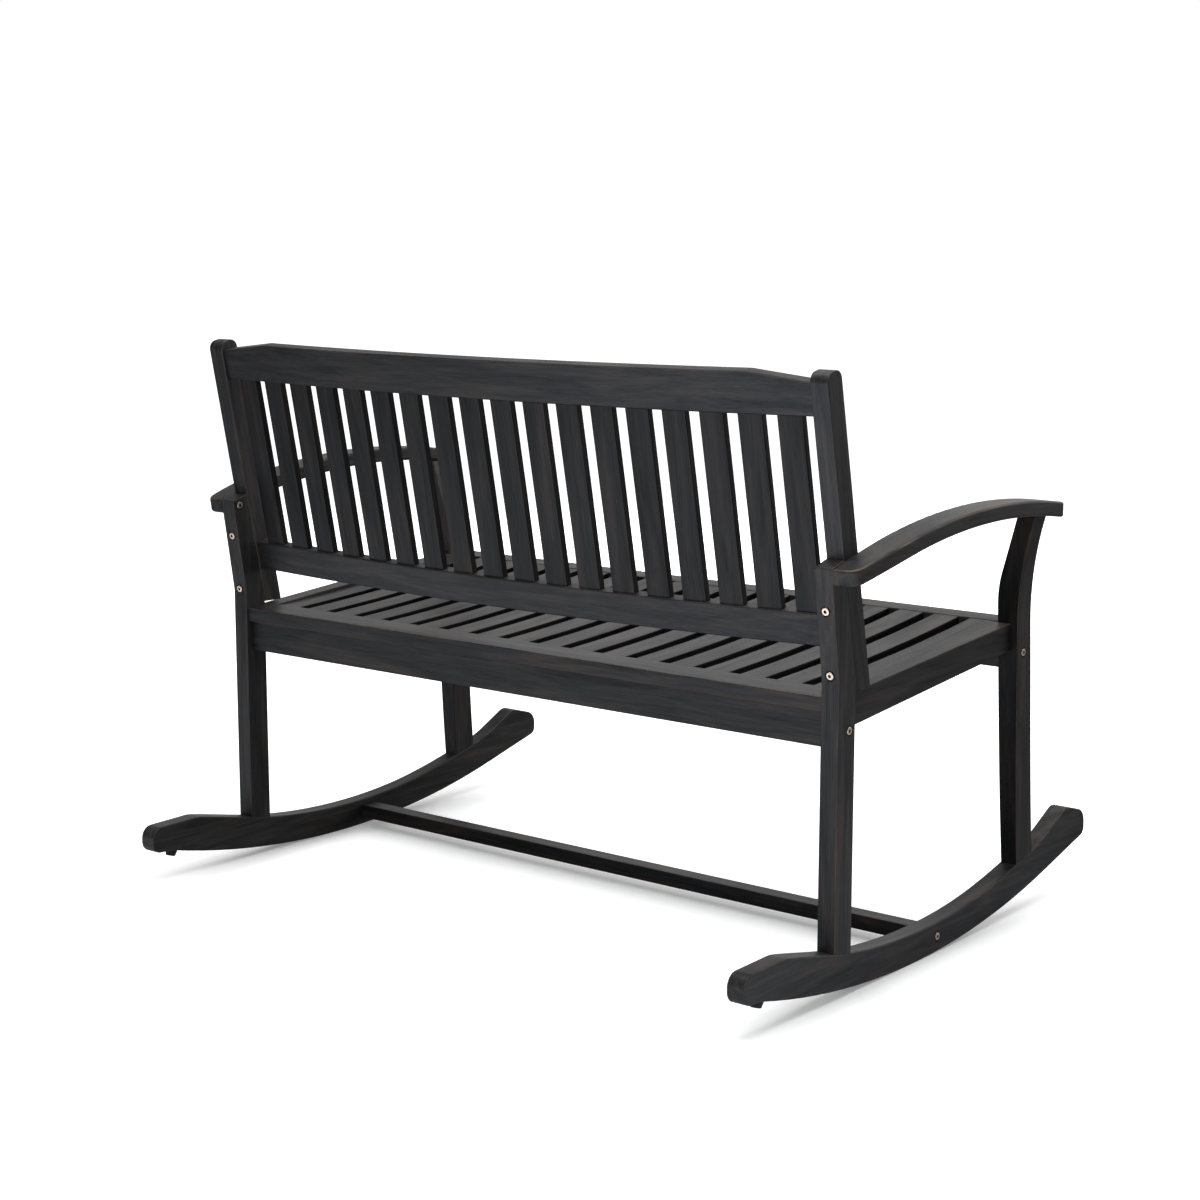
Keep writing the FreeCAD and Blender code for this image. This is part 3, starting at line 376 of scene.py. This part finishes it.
def dress_frame():
    """Gives every CAD node its material."""
    others = {
        "bolt": metal("bolt_steel", (0.62, 0.48, 0.38), (0.84, 0.70, 0.58), 0.42),
        "zinc": metal("zinc_steel", (0.45, 0.46, 0.48), (0.66, 0.67, 0.70), 0.38),
        "brass": metal("insert_brass", (0.55, 0.38, 0.16), (0.76, 0.58, 0.30), 0.32),
        "dowel": pale_wood(),
        "rubber": rubber(),
    }
    for seed, name in enumerate(sorted(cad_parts)):
        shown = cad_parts[name]
        material = others[HARDWARE[name]] if name in HARDWARE else wood_for(name, seed + 1)
        shown.data.materials.clear()
        shown.data.materials.append(material)


def seen_or_bounced(tree, seen, bounced):
    """One value for what the camera sees, and another for the light that reaches the bench."""
    path = tree.nodes.new("ShaderNodeLightPath").outputs["Is Camera Ray"]
    return mixed(tree, path, bounced, seen)


def painted_floor_reflection(tree, coordinates, open_part):
    """What gloss mirrors of the floor, a painted reflection: bright round one place, and dark with painted
    shade round the bench.
    """
    apart = tree.nodes.new("ShaderNodeVectorMath")
    apart.operation = "DISTANCE"
    join(tree, coordinates, apart.inputs[0])
    apart.inputs[1].default_value = BRIGHT_PLACE
    distance = maths(tree, "DIVIDE", apart.outputs["Value"], BRIGHT_REACH)
    closeness = maths(tree, "SUBTRACT", 1.0, distance, True)
    return product(tree, mixed(tree, closeness, PAINTED_REFLECTION_REST, PAINTED_REFLECTION_BRIGHT), open_part)


def floor_material():
    """A bright studio floor that throws only a little of its light back up, but shows in the gloss as a
    painted reflection, with a painted contact shadow near the bench.
    """
    material, tree, shader = new_material("studio_floor")
    coordinates = object_place(tree)
    mottle = noise(tree, coordinates, 1.5, 2.0)
    seen = ramp(tree, mottle, [(0.3, FLOOR_SEEN - 0.01), (0.7, FLOOR_SEEN)])
    join(tree, seen_or_bounced(tree, seen, (FLOOR_BOUNCE,) * 3), shader.inputs["Base Color"])
    shader.inputs["Roughness"].default_value = 0.9
    shader.inputs["Specular IOR Level"].default_value = 0.0

    length = tree.nodes.new("ShaderNodeVectorMath")
    length.operation = "LENGTH"
    join(tree, coordinates, length.inputs[0])
    fade_start, fade_end = FLOOR_FADE
    shade_start, shade_end = FLOOR_SHADE
    reach = maths(tree, "DIVIDE", length.outputs["Value"], fade_end)
    glow = ramp(tree, reach, [(fade_start / fade_end, FLOOR_GLOW), (1.0, 1.0)])
    # Painted shade round the bench, in the floor's painted reflection
    open_part = ramp(tree, reach, [(shade_start / fade_end, 0.03), (shade_end / fade_end, 1.0)])
    # Painted contact shadow: the floor that the camera sees darkens close to the bench's pieces
    near_things = node(tree, "ShaderNodeAmbientOcclusion", Distance=CONTACT_SHADE)
    painted_contact_shadow = ramp(tree, near_things.outputs["AO"], [(0.55, 0.30), (0.97, 1.0)])
    painted_reflection = painted_floor_reflection(tree, coordinates, open_part)
    # Painted reflection: the floor glows only for gloss, and throws no other light
    glossy = tree.nodes.new("ShaderNodeLightPath").outputs["Is Glossy Ray"]
    thrown = mixed(tree, glossy, (0.0, 0.0, 0.0), painted_reflection)
    join(tree, seen_or_bounced(tree, product(tree, glow, painted_contact_shadow), thrown), shader.inputs["Emission Color"])
    shader.inputs["Emission Strength"].default_value = 1.0
    return material


def make_floor():
    half = FLOOR_HALF
    corners = [(-half, -half, 0), (half, -half, 0), (half, half, 0), (-half, half, 0)]
    mesh = bpy.data.meshes.new("studio_floor")
    mesh.from_pydata(corners, [], [(0, 1, 2, 3)])
    floor = bpy.data.objects.new("studio_floor", mesh)
    bpy.context.scene.collection.objects.link(floor)
    mesh.materials.append(floor_material())


def soft_light(name, place, target, size, power, colour):
    light = bpy.data.lights.new(name, "AREA")
    light.shape = "DISK"
    light.size = size
    light.energy = power
    light.color = colour
    lamp = bpy.data.objects.new(name, light)
    lamp.location = place
    lamp.rotation_euler = (Vector(target) - Vector(place)).to_track_quat("-Z", "Y").to_euler()
    bpy.context.scene.collection.objects.link(lamp)
    return lamp


def make_world():
    """A surround whose light grows from the horizon to overhead, with a bright backdrop in front."""
    world = bpy.data.worlds.new("studio")
    world.use_nodes = True
    tree = world.node_tree
    direction = tree.nodes.new("ShaderNodeTexCoord").outputs["Generated"]
    height = axis_part(tree, direction, "Z")
    frontward = maths(tree, "MULTIPLY", axis_part(tree, direction, "Y"), -1.0)
    dome = ramp(tree, height, [(0.0, HORIZON_LIGHT), (1.0, OVERHEAD_LIGHT)])
    ahead = ramp(tree, frontward, [(0.35, 0.0), (0.75, BACKDROP_LIGHT)])
    low = ramp(tree, height, [(0.02, 0.55), (0.16, 1.0), (0.30, 1.0), (0.60, 0.0)])
    light = mixed(tree, 1.0, dome, product(tree, ahead, low), "ADD")
    background = tree.nodes["Background"]
    join(tree, seen_or_bounced(tree, (1.0, 1.0, 1.0), light), background.inputs["Color"])
    background.inputs["Strength"].default_value = 1.0
    bpy.context.scene.world = world


def make_studio():
    """The surround and three lamps. Gloss doesn't mirror the front lamp."""
    make_world()
    soft_light("overhead", *OVERHEAD)
    soft_light("rear_fill", *REAR_FILL)
    front_fill = soft_light("front_fill", *FRONT_FILL)
    front_fill.visible_glossy = False
    bpy.context.scene.view_settings.view_transform = "Standard"
    bpy.context.scene.view_settings.look = "None"


def make_camera():
    data = bpy.data.cameras.new("photo_camera")
    data.lens = CAMERA_LENS
    data.sensor_width = CAMERA_SENSOR
    camera = bpy.data.objects.new("photo_camera", data)
    yaw = math.radians(CAMERA_YAW)
    pitch = math.radians(CAMERA_PITCH)
    level = math.cos(pitch)
    forward = Vector((math.sin(yaw) * level, -math.cos(yaw) * level, -math.sin(pitch)))
    camera.location = CAMERA_PLACE
    camera.rotation_euler = forward.to_track_quat("-Z", "Y").to_euler()
    bpy.context.scene.collection.objects.link(camera)
    bpy.context.scene.camera = camera


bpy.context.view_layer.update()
dress_frame()
make_floor()
make_studio()
make_camera()
